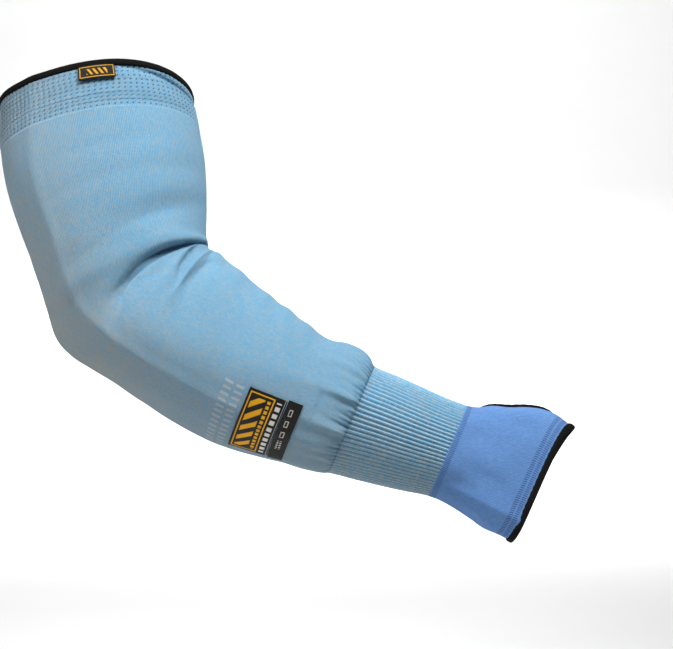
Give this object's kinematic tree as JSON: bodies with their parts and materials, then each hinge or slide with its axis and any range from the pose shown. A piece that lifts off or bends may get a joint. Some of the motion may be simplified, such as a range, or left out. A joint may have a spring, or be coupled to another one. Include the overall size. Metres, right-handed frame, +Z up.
{
  "type": "cut resistant sleeve",
  "caption": "Knitted arm sleeve in its worn, bent form, with an open-work top band, a ribbed wrist and a hand cuff with a thumb hole.",
  "frame": {"origin": "middle of the top opening, where the upper arm goes in", "axes": "+X from the elbow towards the hand, +Z up, -Y towards the side that shows the elbow's creases and the patches"},
  "size_m": [0.3803, 0.1393, 0.3141],
  "materials": {
    "knit": "fine knit, light blue with tan flecks",
    "cuff_knit": "fine smooth knit, cornflower blue",
    "binding": "black elastic tape",
    "transfer": "satin printed transfer, black with yellow and white",
    "tab": "woven tab, black with yellow"
  },
  "bodies": {
    "root": {"top_binding": "binding", "edge_tab": "tab", "upper_band": "knit", "arm_tube": "knit", "main_patch": "transfer", "size_patch": "transfer", "wrist_rib": "knit", "hand_cuff": "cuff_knit", "thumb_binding": "binding", "hand_binding": "binding"}
  },
  "joints": []
}
